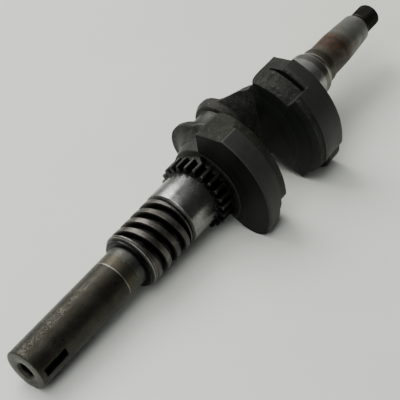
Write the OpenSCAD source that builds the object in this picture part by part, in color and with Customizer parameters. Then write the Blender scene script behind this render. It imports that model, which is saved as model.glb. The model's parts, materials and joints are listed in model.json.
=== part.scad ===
// Crankshaft of a single-cylinder engine, lying along +X.
// The origin is the centre of the power take-off end face, +Y runs towards the crankpin.

/* [Power take-off shaft] */
// length from the end face to the worm
pto_shaft_len = 82; // [60:0.5:110]
// radius of the drive shaft
pto_shaft_r = 12.5; // [9.5:0.5:16]
// width of the keyway
keyway_w = 5; // [4:0.1:8]
// depth of the keyway below the shaft surface
keyway_depth = 3; // [2:0.1:4]
// angle of the keyway around the shaft, from the crankpin side
keyway_angle = 167; // [0:1:360]
// radius of the threaded hole in the end
end_hole_r = 4.3; // [3:0.1:6]
// depth of the threaded hole
end_hole_depth = 30; // [15:1:45]

/* [Worm] */
// radius over the worm's crests
worm_crest_r = 17.2; // [15:0.1:20]
// radius at the worm's root
worm_root_r = 13; // [10:0.1:15]
// length of the worm's threaded part
worm_len = 31.2; // [20:0.1:45]
// advance of one thread in a full turn
worm_lead = 16.5; // [8:0.5:30]
// number of separate threads
worm_starts = 2; // [1:1:4]

/* [Bearing journals] */
// radius of the power take-off side bearing seat
pto_journal_r = 17.5; // [12:0.5:22]
// radius of the flywheel side bearing seat
flywheel_journal_r = 15; // [12:0.5:22]

/* [Timing gear] */
// number of teeth
gear_teeth = 23; // [16:1:40]
// tooth size as pitch diameter over tooth count
gear_module = 1.75; // [1:0.05:3]
// width of the gear
gear_w = 9.4; // [6:0.1:15]
// radius of the seat the gear is pressed on
gear_seat_r = 15; // [12:0.5:17]

/* [Throw] */
// distance from the shaft axis to the crankpin axis
throw = 22.5; // [15:0.5:35]
// radius of the crankpin
crankpin_r = 13; // [10:0.5:18]
// clear length of the crankpin between its cheeks
crankpin_len = 14.5; // [10:0.5:30]
// radius of the rounded arm end around the crankpin
lobe_r = 18; // [15:0.5:25]
// radius of the counterweight rims
rim_r = 46.3; // [35:0.1:60]

/* [Flywheel end] */
// small radius of the taper
taper_end_r = 9.8; // [8:0.1:12]
// radius of the plain land before the taper
flywheel_land_r = 11.5; // [9:0.1:14]
// length of the end thread
thread_len = 14.6; // [10:0.1:25]
// radius over the end thread
thread_r = 8; // [5:0.5:10]

/* [Hidden] */
$fn = 96;
small = 0.01;
worm_x = pto_shaft_len + 4.3;
journal_x = 120;
gear_x = 140.7;
boss_x = gear_x + gear_w;
arm_x = 160.4;
near_step_x = 162;
near_back_x = 173;
pin_mid_x = 188.75;
pin_x = pin_mid_x - crankpin_len / 2;
far_front_x = 2 * pin_mid_x - near_back_x;
far_arm_x = 2 * pin_mid_x - arm_x;
far_back_x = 228.6;
land_x = 271.5;
plain_x = 278.7;
taper_x = 298;
taper_end_x = 322.5;
thread_x = 326;
thread_end_x = thread_x + thread_len;
worm_start_angle = 106.4;
collar_x = pto_shaft_len;
worm_turn = worm_len / worm_lead * 360;
gear_tip_r = gear_module * (gear_teeth / 2 + 1);
gear_root_r = gear_module * (gear_teeth / 2 - 1.25);
gear_pitch_r = gear_module * gear_teeth / 2;
gear_start_angle = 115.1;
boss_r = 24.8;
boss_flat_z = 20;
near_tail = [-34, -8.1];
far_tail = [-31.5, -11.5];
tail_r = 12.4;

// places an outline drawn as (Y, Z) at station x, its thickness running along +X
module at_x(x) {
    translate([x, 0, 0])
    rotate([90, 0, 90])
    children();
}

// turns a (radius, X) outline about the shaft axis
module turned(points) {
    at_x(0)
    rotate_extrude()
    polygon(points);
}

module keyway_cutter(x, length, angle) {
    // square-ended slot, sunk from the surface towards the axis
    rotate([angle, 0, 0])
    translate([x, pto_shaft_r - keyway_depth, -keyway_w / 2])
    cube([length, 10, keyway_w]);
}

module pto_shaft() {
    color([0.42, 0.38, 0.34])
    difference() {
        turned([
            [0, 0], [pto_shaft_r - 0.5, 0], [pto_shaft_r, 0.5],
            [pto_shaft_r, pto_shaft_len], [0, pto_shaft_len]
        ]);
        keyway_cutter(3.2, 15.8, keyway_angle);
        at_x(-1) cylinder(h = end_hole_depth + 1, r = end_hole_r);
        // drilled point at the bottom of the hole
        at_x(end_hole_depth) cylinder(h = 2.5, r1 = end_hole_r, r2 = 0);
        // countersunk mouth
        turned([
            [0, -1], [5.9, -1], [5.9, 0], [end_hole_r, 1.6], [0, 1.6]
        ]);
    }
}

// outline of the worm across the shaft: one crest per start with sloping flanks
function worm_radius(a) =
    let (share = (a * worm_starts / 360) % 1)
    share < 0.4 ? worm_crest_r :
    share < 0.5 ? worm_crest_r - (share - 0.4) / 0.1 * (worm_crest_r - worm_root_r) :
    share < 0.9 ? worm_root_r :
    worm_root_r + (share - 0.9) / 0.1 * (worm_crest_r - worm_root_r);

// plain collar in which the thread grooves end
module worm_collar() {
    color([0.45, 0.43, 0.4])
    turned([
        [0, collar_x], [15.8, collar_x], [worm_crest_r, collar_x + 1.9],
        [worm_crest_r, worm_x], [0, worm_x]
    ]);
}

module drive_worm() {
    color([0.45, 0.43, 0.4])
    at_x(worm_x)
    linear_extrude(height = worm_len, twist = -worm_turn, slices = 56, $fn = 40)
    rotate(worm_start_angle)
    polygon([
        for (i = [0:39])
        let (a = i * 9)
        [worm_radius(a) * cos(a), worm_radius(a) * sin(a)]
    ]);
}

module oil_groove() {
    color([0.25, 0.23, 0.2])
    turned([
        [0, worm_x + worm_len], [15.4, worm_x + worm_len], [15.4, 119],
        [pto_journal_r - 0.4, journal_x], [0, journal_x]
    ]);
}

module pto_main_journal() {
    color([0.72, 0.72, 0.7])
    turned([
        [0, journal_x], [pto_journal_r - 0.4, journal_x], [pto_journal_r, journal_x + 0.4],
        [pto_journal_r, gear_x], [0, gear_x]
    ]);
}

module gear_seat() {
    color([0.5, 0.5, 0.48])
    at_x(gear_x) cylinder(h = gear_w, r = gear_seat_r);
}

// one tooth gives six corner points: root, lower flank, tip and back down
function gear_outline() = [
    for (i = [0:gear_teeth - 1])
    let (a = gear_start_angle + i * 360 / gear_teeth)
    for (corner = [
        [gear_root_r, -5.2], [gear_pitch_r, -3.9], [gear_tip_r, -1.9],
        [gear_tip_r, 1.9], [gear_pitch_r, 3.9], [gear_root_r, 5.2]
    ])
    [corner[0] * cos(a + corner[1]), corner[0] * sin(a + corner[1])]
];

module timing_gear() {
    color([0.4, 0.4, 0.38])
    difference() {
        at_x(gear_x) linear_extrude(height = gear_w) polygon(gear_outline());
        at_x(gear_x - 1) cylinder(h = gear_w + 2, r = gear_seat_r);
    }
}

// clears everything below a flat that trims a boss on its underside
module boss_flat() {
    translate([boss_x - 1, -40, -60])
    cube([100, 80, 60 - boss_flat_z]);
}

module boss_shape() {
    difference() {
        turned([
            [0, boss_x], [19, boss_x], [19, 154.2], [23, 154.2], [boss_r, arm_x], [0, arm_x]
        ]);
        boss_flat();
    }
}

module far_boss_shape() {
    difference() {
        turned([
            [0, far_arm_x], [boss_r, far_arm_x], [23, 223.3], [19, 223.3], [19, far_back_x],
            [0, far_back_x]
        ]);
        boss_flat();
    }
}

module pto_boss() {
    color([0.3, 0.3, 0.26])
    boss_shape();
}

module flywheel_boss() {
    color([0.3, 0.3, 0.26])
    far_boss_shape();
}

// foot of an arm where it meets its boss, cut flat against the counterweight
module arm_foot() {
    polygon([
        [-1, 30], [-12, -14], [13, -17], [20, -14.7], [24.8, 0], [20, 14.7], [9, 28]
    ]);
}

module lobe_disc(h, r) {
    translate([throw, 0, 0])
    cylinder(h = h, r = r, $fn = 48);
}

module pto_web() {
    color([0.36, 0.36, 0.31])
    hull() {
        at_x(arm_x) linear_extrude(height = near_back_x - arm_x) arm_foot();
        at_x(174.3) lobe_disc(3.1, lobe_r);
        at_x(pin_x - small) lobe_disc(small, 15.5);
    }
}

module flywheel_web() {
    color([0.24, 0.24, 0.21])
    hull() {
        at_x(far_front_x) linear_extrude(height = far_arm_x - far_front_x) arm_foot();
        at_x(200.1) lobe_disc(3.1, lobe_r);
        at_x(pin_x + crankpin_len) lobe_disc(small, 15.5);
    }
}

module crankpin() {
    color([0.75, 0.75, 0.72])
    translate([0, throw, 0])
    turned([
        [0, pin_x], [crankpin_r + 1, pin_x], [crankpin_r + 0.3, pin_x + 0.3],
        [crankpin_r, pin_x + 1], [crankpin_r, pin_x + crankpin_len - 1],
        [crankpin_r + 0.3, pin_x + crankpin_len - 0.3],
        [crankpin_r + 1, pin_x + crankpin_len], [0, pin_x + crankpin_len]
    ]);
}

// side outline of a counterweight; flat is the forged flat beside the arm
module weight_outline(flat, tail, heel) {
    union() {
        polygon(concat(
            [[-12, -14], [-1, 30]], flat,
            [[-26, 60], [-60, 60], [-60, tail[1]], [tail[0] - tail_r, tail[1]], tail,
             [tail[0], tail[1] - tail_r]], heel
        ));
        translate(tail) circle(r = tail_r);
    }
}

// side outline of the inner layer of the flywheel side counterweight, with its lower end cut back
module cut_tail_outline(flat) {
    polygon(concat(
        [[-12, -14], [-1, 30]], flat,
        [[-44, 60], [-60, 60], [-60, -6], [-45, -8], [-41.4, -13.4], [-36.5, -17.8],
         [-31.4, -23.6], [-22, -18.5]]
    ));
}

// clears a sector of the rim down to a radius that changes from start to end;
// edge_y is where the sector starts at a height of 60
module pad_cutter(x, length, edge_y, start_r, end_r) {
    intersection() {
        at_x(x) linear_extrude(height = length) polygon([[0, 0], [edge_y, 60], [-51.2, 60]]);
        difference() {
            at_x(x) cylinder(h = length, r = 60);
            at_x(x - small) cylinder(h = length + 2 * small, r1 = start_r, r2 = end_r);
        }
    }
}

module pto_counterweight() {
    color([0.34, 0.34, 0.3])
    difference() {
        intersection() {
            union() {
                // front layer, with the long lower tail
                at_x(boss_x)
                linear_extrude(height = near_step_x - boss_x)
                weight_outline([[-1, 40.9], [-20, 42.1]], near_tail, [[-27, -18.7], [-18, -13]]);
                // rear layer, whose lower end stops short
                at_x(near_step_x)
                linear_extrude(height = near_back_x - near_step_x)
                polygon([
                    [-12, -14], [-1, 30], [-1, 40.9], [-20, 42.1], [-26, 60], [-60, 60],
                    [-60, 0], [-44.3, 0.4], [-42.6, -4], [-39.4, -9.2], [-34, -13.6], [-26, -15.6]
                ]);
            }
            turned([
                [0, boss_x], [rim_r - 0.4, boss_x], [rim_r, boss_x + 0.4], [rim_r, 163.5],
                [45, 163.7], [44, 170.3], [40.7, near_back_x], [0, near_back_x]
            ]);
        }
        boss_shape();
        // round recess that keeps the face clear of the gear
        at_x(boss_x - 1) cylinder(h = 5.1, r = boss_r);
    }
}

module flywheel_counterweight() {
    color([0.3, 0.3, 0.27])
    difference() {
        intersection() {
            union() {
                // inner layer, with its forged pad lower than the rim
                at_x(far_front_x)
                linear_extrude(height = 13)
                cut_tail_outline([[-1, 41], [-14, 42.8]]);
                // outer layer, with the full rim
                at_x(far_front_x + 13)
                linear_extrude(height = far_back_x - far_front_x - 13)
                weight_outline([[-1, 41], [-14, 42.8]], far_tail, [[-22, -18.5]]);
            }
            turned([
                [0, far_front_x], [39, far_front_x], [45.1, 206.3], [45.5, 209.6],
                [rim_r, 209.8], [rim_r, far_back_x - 0.6], [rim_r - 0.6, far_back_x], [0, far_back_x]
            ]);
        }
        far_boss_shape();
        pad_cutter(far_front_x - 1, 12.5, 5, 38.5, 43.3);
        // narrow slot behind the pad
        pad_cutter(far_front_x + 11.5, 1.5, -7, 40, 40);
    }
}

module flywheel_main_journal() {
    color([0.74, 0.74, 0.72])
    turned([
        [0, far_back_x], [flywheel_journal_r + 1.2, far_back_x],
        [flywheel_journal_r, far_back_x + 1.2], [flywheel_journal_r, 267.3],
        [12.8, land_x], [0, land_x]
    ]);
}

module seal_land() {
    color([0.66, 0.66, 0.63])
    turned([
        [0, land_x], [12.45, land_x], [12.45, 277.9], [flywheel_land_r, plain_x], [0, plain_x]
    ]);
}

module flywheel_land() {
    color([0.5, 0.36, 0.26])
    at_x(plain_x) cylinder(h = taper_x - plain_x, r = flywheel_land_r);
}

module flywheel_taper() {
    color([0.6, 0.6, 0.58])
    difference() {
        at_x(taper_x) cylinder(h = taper_end_x - taper_x, r1 = flywheel_land_r, r2 = taper_end_r);
        // curved seat for the flywheel's half-moon key, in line with the crankpin
        translate([312, 14, -2])
        cylinder(h = 4, r = 8);
    }
}

module thread_relief() {
    color([0.5, 0.5, 0.48])
    turned([
        [0, taper_end_x], [taper_end_r, taper_end_x], [thread_r - 0.3, thread_x], [0, thread_x]
    ]);
}

module end_thread() {
    color([0.12, 0.12, 0.12])
    difference() {
        turned([
            [0, thread_x], [thread_r, thread_x], [thread_r, thread_end_x - 1],
            [thread_r - 1, thread_end_x], [0, thread_end_x]
        ]);
        // lathe centre
        at_x(thread_end_x - 3) cylinder(h = 3 + small, r1 = 0, r2 = 2.2);
    }
}

pto_shaft();
worm_collar();
drive_worm();
oil_groove();
pto_main_journal();
gear_seat();
timing_gear();
pto_boss();
pto_web();
pto_counterweight();
crankpin();
flywheel_web();
flywheel_boss();
flywheel_counterweight();
flywheel_main_journal();
seal_land();
flywheel_land();
flywheel_taper();
thread_relief();
end_thread();
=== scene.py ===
import json
import math

import bpy
import numpy as np
from bpy.props import FloatProperty, FloatVectorProperty, IntProperty, PointerProperty
from mathutils import Matrix, Vector

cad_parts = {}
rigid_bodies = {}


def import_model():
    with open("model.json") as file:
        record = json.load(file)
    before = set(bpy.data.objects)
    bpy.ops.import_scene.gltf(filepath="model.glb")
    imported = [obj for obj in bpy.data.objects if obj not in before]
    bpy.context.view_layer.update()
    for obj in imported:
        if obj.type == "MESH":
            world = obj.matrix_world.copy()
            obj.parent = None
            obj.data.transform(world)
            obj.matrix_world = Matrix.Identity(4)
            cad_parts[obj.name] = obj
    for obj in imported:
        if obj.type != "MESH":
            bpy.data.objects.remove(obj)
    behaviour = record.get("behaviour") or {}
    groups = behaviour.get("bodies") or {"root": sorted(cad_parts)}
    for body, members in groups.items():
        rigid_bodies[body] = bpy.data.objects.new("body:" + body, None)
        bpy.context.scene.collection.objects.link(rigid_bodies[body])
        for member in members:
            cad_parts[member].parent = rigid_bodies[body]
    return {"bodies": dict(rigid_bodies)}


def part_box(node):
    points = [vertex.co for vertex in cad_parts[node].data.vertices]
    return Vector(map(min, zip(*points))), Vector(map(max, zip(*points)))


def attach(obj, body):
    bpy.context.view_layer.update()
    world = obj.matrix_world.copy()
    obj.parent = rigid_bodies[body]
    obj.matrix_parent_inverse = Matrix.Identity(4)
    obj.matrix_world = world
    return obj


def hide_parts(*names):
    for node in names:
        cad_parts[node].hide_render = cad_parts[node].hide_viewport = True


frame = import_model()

bl_info = {
    "name": "Crankshaft look",
    "version": (1, 0, 0),
    "blender": (4, 5, 0),
    "location": "3D View > Sidebar > Crankshaft",
    "description": "Builds the finished surfaces of a single-throw crankshaft over its solid model",
    "category": "Object",
}

MM = 0.001

# sizes that several pieces share, in millimetres and degrees
KEYWAY_ANGLE = 167.0
END_HOLE_R = 4.3
THROW = 22.5
GEAR_SEAT_R = 15.0
SEAL_R = 12.45
NECK_R = 9.8
PIN_R = 13.0
BOSS_R = 24.8
# how far below the axis the bosses are cut flat
BOSS_FLAT = 19.95
# the middle from which the counterweights' outlines are measured, and the radius of their tails
WEIGHT_MIDDLE = (-20.0, 9.0)
TAIL_R = 12.4
# how far the drive side weight's face lies behind its front edge
FACE_DROP = 0.35
# distance from the axis beyond which a counterweight's rim is machined
MACHINED_RIM = 45.8


BODY = next(iter(frame["bodies"]))


def span(node):
    """Where a node starts and ends along the shaft axis, in millimetres."""
    low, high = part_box(node)
    return low.x / MM, high.x / MM


def reach_of(node):
    """The radius of a round node about the shaft axis, in millimetres."""
    low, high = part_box(node)
    return (high.z - low.z) / 2 / MM


# ---------------------------------------------------------------- surfaces


def eased(points, radius, steps=5):
    """Rounds every inner corner of an open line: each corner becomes a quadratic curve from a point
    one radius before it to a point one radius after it, or 0.45 of a side that is shorter."""
    p = np.asarray(points, float)
    at = p[1:-1]
    back, on = p[:-2] - at, p[2:] - at
    back_length = np.linalg.norm(back, axis=1, keepdims=True)
    on_length = np.linalg.norm(on, axis=1, keepdims=True)
    a = at + back / back_length * np.minimum(radius, back_length * 0.45)
    b = at + on / on_length * np.minimum(radius, on_length * 0.45)
    t = np.linspace(0, 1, steps)[None, :, None]
    curve = (1 - t) ** 2 * a[:, None] + 2 * t * (1 - t) * at[:, None] + t**2 * b[:, None]
    return np.concatenate([p[:1], curve.reshape(-1, 2), p[-1:]])


def dense(points, step):
    """Adds points along an open line so that none are further apart than step."""
    p = np.asarray(points, float)
    length = np.concatenate([[0], np.cumsum(np.linalg.norm(np.diff(p, axis=0), axis=1))])
    extra = np.arange(0, length[-1], step)
    s = np.unique(np.concatenate([length, extra]).round(5))
    return np.stack([np.interp(s, length, p[:, 0]), np.interp(s, length, p[:, 1])], 1)


def skin(name, rings, loop=False):
    """A closed mesh through a grid of points: sections by points around, in millimetres.
    The first and last section end in one point each, or join each other when loop is set."""
    m, n = rings.shape[:2]
    verts = rings.reshape(-1, 3)
    row = np.arange(m if loop else m - 1)[:, None]
    col = np.arange(n)[None, :]
    next_row, next_col = (row + 1) % m, (col + 1) % n
    quads = np.stack(
        [row * n + col, row * n + next_col, next_row * n + next_col, next_row * n + col], -1
    ).reshape(-1, 4)
    loops, starts = quads.ravel(), np.arange(len(quads)) * 4
    if not loop:
        ends = np.stack([rings[0].mean(0), rings[-1].mean(0)])
        verts = np.concatenate([verts, ends])
        first, last = np.arange(n), (m - 1) * n + np.arange(n)
        low = np.stack([np.full(n, m * n), np.roll(first, -1), first], 1)
        high = np.stack([np.full(n, m * n + 1), last, np.roll(last, -1)], 1)
        tris = np.concatenate([low, high])
        starts = np.concatenate([starts, len(loops) + np.arange(len(tris)) * 3])
        loops = np.concatenate([loops, tris.ravel()])
    # the signed volume tells whether the faces point outwards
    a, b, c, d = verts[quads.T]
    volume = np.einsum("ij,ij->", a, np.cross(b, c)) + np.einsum("ij,ij->", a, np.cross(c, d))
    if not loop:
        a, b, c = verts[tris.T]
        volume += np.einsum("ij,ij->", a, np.cross(b, c))
    mesh = bpy.data.meshes.new(name)
    mesh.vertices.add(len(verts))
    mesh.vertices.foreach_set("co", (verts * MM).astype(np.float32).ravel())
    mesh.loops.add(len(loops))
    mesh.loops.foreach_set("vertex_index", loops.astype(np.int32))
    mesh.polygons.add(len(starts))
    mesh.polygons.foreach_set("loop_start", starts.astype(np.int32))
    mesh.update(calc_edges=True)
    mesh.validate()
    if volume < 0:
        mesh.flip_normals()
    mesh.polygons.foreach_set("use_smooth", np.ones(len(mesh.polygons), bool))
    mesh.set_sharp_from_angle(angle=math.radians(32))
    return mesh


def turned(profile, angles, radial=None, centre=(0.0, 0.0)):
    """Sections of a turned surface. profile holds (station, radius) pairs; a point lies at
    centre plus radius times (cosine, sine) of its angle. radial(station, radius, angle)
    may change the radius point by point."""
    p = np.asarray(profile, float)
    x = np.repeat(p[:, 0][:, None], len(angles), 1)
    r = np.repeat(p[:, 1][:, None], len(angles), 1)
    a = np.repeat(np.radians(angles)[None, :], len(p), 0)
    if radial is not None:
        r = radial(x, r, np.degrees(a))
    return np.stack([x, centre[0] + r * np.cos(a), centre[1] + r * np.sin(a)], -1)


def around(count):
    """Evenly spaced angles of a full turn, in degrees."""
    return np.arange(count) * 360.0 / count


def arc(centre, radius, start, end, count=24):
    """Points of a circular arc, as (Y, Z) pairs."""
    a = np.radians(np.linspace(start, end, count))
    return np.stack([centre[0] + radius * np.cos(a), centre[1] + radius * np.sin(a)], 1)


def reach(outline, centre, angles, soften=0.0):
    """How far a closed outline lies from centre in each direction: the farthest crossing
    of a ray with its edges, then blurred over soften degrees so that corners are rounded."""
    p = np.asarray(outline, float) - np.asarray(centre, float)
    e = np.roll(p, -1, 0) - p
    rad = np.radians(angles)
    d = np.stack([np.cos(rad), np.sin(rad)], 1)
    # each ray crosses each edge at t along the ray and u along the edge
    turn = d[:, None, 0] * e[None, :, 1] - d[:, None, 1] * e[None, :, 0]
    turn = np.where(np.abs(turn) < 1e-9, 1e-9, turn)
    t = (p[None, :, 0] * e[None, :, 1] - p[None, :, 1] * e[None, :, 0]) / turn
    u = (p[None, :, 0] * d[:, None, 1] - p[None, :, 1] * d[:, None, 0]) / turn
    hit = (u >= -1e-6) & (u <= 1 + 1e-6) & (t > 0)
    far = np.where(hit, t, 0).max(1)
    if soften:
        gap = np.minimum(angles, 360 - angles)
        kernel = np.exp(-0.5 * (gap / soften) ** 2)
        kernel /= kernel.sum()
        far = np.fft.irfft(np.fft.rfft(far) * np.fft.rfft(kernel), len(far))
    return far


def layers(stations, centre, angles):
    """Sections of a block built up along the shaft. Each station is (X, reach, inset, rim):
    its points lie at reach less inset from centre, and never outside the rim circle."""
    rad = np.radians(angles)
    d = np.stack([np.cos(rad), np.sin(rad)], 1)
    far = np.stack([s[1] - s[2] for s in stations])
    rim = np.array([s[3] for s in stations])[:, None]
    yz = np.asarray(centre)[None, None, :] + far[..., None] * d[None]
    size = np.linalg.norm(yz, axis=-1)
    yz = yz * np.minimum(1, rim / size)[..., None]
    x = np.repeat(np.array([s[0] for s in stations])[:, None], len(angles), 1)
    return np.concatenate([x[..., None], yz], -1)


def smooth(x, low, high):
    """0 below low, 1 above high, and an S-shaped curve between."""
    t = np.clip((x - low) / (high - low), 0, 1)
    return t * t * (3 - 2 * t)


def lump(x, y, z, size, seed):
    """A smooth seeded unevenness from -1 to 1: a sum of sine waves in fixed random directions."""
    rng = np.random.default_rng(seed)
    waves = rng.normal(size=(9, 3))
    waves /= np.linalg.norm(waves, axis=1, keepdims=True)
    waves *= 2 * np.pi / size * rng.uniform(0.6, 1.7, (9, 1))
    phase = rng.uniform(0, 2 * np.pi, 9)
    return sum(np.sin(w[0] * x + w[1] * y + w[2] * z + p) for w, p in zip(waves, phase)) / 9


# ---------------------------------------------------------------- finishes


class Tree:
    """Small helper that adds and links shader nodes of one material."""

    def __init__(self, name):
        self.material = bpy.data.materials.new(name)
        self.material.use_nodes = True
        self.nodes = self.material.node_tree.nodes
        self.links = self.material.node_tree.links
        self.nodes.clear()
        self.out = self.add("ShaderNodeOutputMaterial")
        self.shader = self.add("ShaderNodeBsdfPrincipled")
        self.links.new(self.shader.outputs[0], self.out.inputs[0])
        self.place = self.add("ShaderNodeTexCoord").outputs["Object"]
        split = self.add("ShaderNodeSeparateXYZ")
        self.join(self.place, split.inputs[0])
        self.x = split.outputs[0]
        self.y = split.outputs[1]
        self.z = split.outputs[2]

    def add(self, kind, **settings):
        node = self.nodes.new(kind)
        for key, value in settings.items():
            setattr(node, key, value)
        return node

    def join(self, source, target):
        if isinstance(source, (int, float, tuple)):
            target.default_value = source
        else:
            self.links.new(source, target)

    def noise(self, scale, detail=4.0, rough=0.55, warp=0.0):
        node = self.add("ShaderNodeTexNoise")
        self.join(self.place, node.inputs["Vector"])
        node.inputs["Scale"].default_value = scale
        node.inputs["Detail"].default_value = detail
        node.inputs["Roughness"].default_value = rough
        node.inputs["Distortion"].default_value = warp
        return node.outputs["Fac"]

    def lines(self, value, scale, detail=3.0):
        """Noise that changes along one value only, such as turning marks."""
        node = self.add("ShaderNodeTexNoise", noise_dimensions="1D")
        self.join(value, node.inputs["W"])
        node.inputs["Scale"].default_value = scale
        node.inputs["Detail"].default_value = detail
        node.inputs["Roughness"].default_value = 0.7
        return node.outputs["Fac"]

    def math(self, kind, a, b=0.0):
        node = self.add("ShaderNodeMath", operation=kind)
        self.join(a, node.inputs[0])
        self.join(b, node.inputs[1])
        return node.outputs[0]

    def scale(self, value, low, high, to_low=0.0, to_high=1.0):
        """Maps the range low to high on to another one, and clamps it there."""
        node = self.add("ShaderNodeMapRange")
        self.join(value, node.inputs["Value"])
        for key, number in (("From Min", low), ("From Max", high), ("To Min", to_low), ("To Max", to_high)):
            node.inputs[key].default_value = number
        return node.outputs["Result"]

    def ramp(self, value, stops):
        node = self.add("ShaderNodeValToRGB")
        self.join(value, node.inputs[0])
        bar = node.color_ramp.elements
        bar[0].position, bar[0].color = stops[0][0], (*stops[0][1], 1)
        bar[1].position, bar[1].color = stops[-1][0], (*stops[-1][1], 1)
        for place, colour in stops[1:-1]:
            bar.new(place).color = (*colour, 1)
        return node.outputs[0]

    def mix(self, amount, a, b, kind="MIX"):
        node = self.add("ShaderNodeMix", data_type="RGBA", blend_type=kind)
        self.join(amount, node.inputs[0])
        self.join(a if not isinstance(a, tuple) else (*a, 1), node.inputs[6])
        self.join(b if not isinstance(b, tuple) else (*b, 1), node.inputs[7])
        return node.outputs[2]

    def darken(self, amount, colour, value, low, high, dark):
        """Multiplies a colour by a dark tone where value is low and by white where it is high."""
        return self.mix(amount, colour, self.ramp(value, [(low, dark), (high, (1.0, 1.0, 1.0))]), "MULTIPLY")

    def mottled(self, value, tones):
        """Three tones spread over the middle range of a noise."""
        return self.ramp(self.scale(value, 0.3, 0.7), [(0.0, tones[0]), (0.5, tones[1]), (1.0, tones[2])])

    def stained(self, colour, stain, scale, detail, rough, warp, low, high):
        """Lays patches of a stain (strength, colour) over a colour."""
        patch = self.scale(self.noise(scale, detail, rough, warp), low, high)
        return self.mix(self.math("MULTIPLY", patch, stain[0]), colour, stain[1])

    def axis_distance(self):
        """Distance from the shaft axis."""
        y_squared = self.math("MULTIPLY", self.y, self.y)
        z_squared = self.math("MULTIPLY", self.z, self.z)
        return self.math("SQRT", self.math("ADD", y_squared, z_squared))

    def bump(self, height, strength, distance, below=None):
        node = self.add("ShaderNodeBump")
        node.inputs["Strength"].default_value = strength
        node.inputs["Distance"].default_value = distance
        self.join(height, node.inputs["Height"])
        if below is not None:
            self.join(below, node.inputs["Normal"])
        return node.outputs[0]

    def blend_normals(self, amount, a, b):
        node = self.add("ShaderNodeMix", data_type="VECTOR")
        self.join(amount, node.inputs[0])
        self.join(a, node.inputs[4])
        self.join(b, node.inputs[5])
        return node.outputs[1]

    def finish(self, colour, rough, normal, metal, shine=0.5):
        self.shader.inputs["Specular IOR Level"].default_value = shine
        self.join(colour, self.shader.inputs["Base Color"])
        self.join(rough, self.shader.inputs["Roughness"])
        self.join(normal, self.shader.inputs["Normal"])
        self.shader.inputs["Metallic"].default_value = metal
        return self.material


def band(tree, centre, width):
    """1 inside a band across the shaft axis and 0 outside, with a soft uneven edge."""
    wobble = tree.scale(tree.noise(200), 0.3, 0.7, -0.0001, 0.0001)
    off = tree.math("ABSOLUTE", tree.math("SUBTRACT", tree.math("ADD", tree.x, wobble), centre * MM))
    return tree.scale(off, width * 0.55 * MM, width * 0.4 * MM)


def steel(name, tones, rough, metal, marks=0.2, grain=0.1, pits=0.0, stain=None, bands=(), deep=None):
    """Machined steel. tones are its dark, middle and light colour and rough its roughness range;
    marks, grain and pits are the strengths of turning marks, fine grain and pits; stain is (strength,
    colour); each band is (X, width, colour, strength) in millimetres; deep is (start, full), the
    radii between which painted shade, nearly black, darkens what lies nearer the axis."""
    t = Tree(name)
    fine = t.noise(900, 5, 0.7)
    ring = t.lines(t.x, 2600)
    colour = t.mottled(t.noise(70, 6, 0.62, 0.4), tones)
    colour = t.darken(0.35, colour, t.lines(t.x, 120, 2), 0.3, 0.7, (0.62, 0.62, 0.62))
    colour = t.darken(0.5, colour, ring, 0.3, 0.7, (0.75, 0.75, 0.75))
    colour = t.darken(0.45, colour, fine, 0.35, 0.6, (0.6, 0.6, 0.6))
    if stain:
        colour = t.stained(colour, stain, 45, 5, 0.65, 1.2, 0.52, 0.66)
    roughness = t.scale(t.noise(260, 4), 0.3, 0.7, rough[0], rough[1])
    for centre, width, tint, strength in bands:
        inside = t.math("MULTIPLY", band(t, centre, width), strength)
        colour = t.mix(inside, colour, tint)
    # painted shade: a near-black colour laid over what lies nearer the axis than the deep radii, in grooves,
    # roots, slots and holes
    if deep:
        low = t.scale(t.axis_distance(), deep[1] * MM, deep[0] * MM, 1.0, 0.0)
        # the painted shade is kept off the end face of the drive shaft
        low = t.math("MULTIPLY", low, t.scale(t.x, 0.6 * MM, 1.6 * MM))
        colour = t.mix(low, colour, (0.006, 0.0062, 0.0055))
    normal = t.bump(ring, marks, 0.1 * MM)
    normal = t.bump(fine, grain, 0.3 * MM, normal)
    if pits:
        pit = t.scale(t.noise(1500, 4, 0.7), 0.36, 0.5)
        normal = t.bump(pit, pits, 0.4 * MM, normal)
        colour = t.darken(0.55, colour, pit, 0.0, 0.5, (0.4, 0.37, 0.33))
    return t.finish(colour, roughness, normal, metal)


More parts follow.
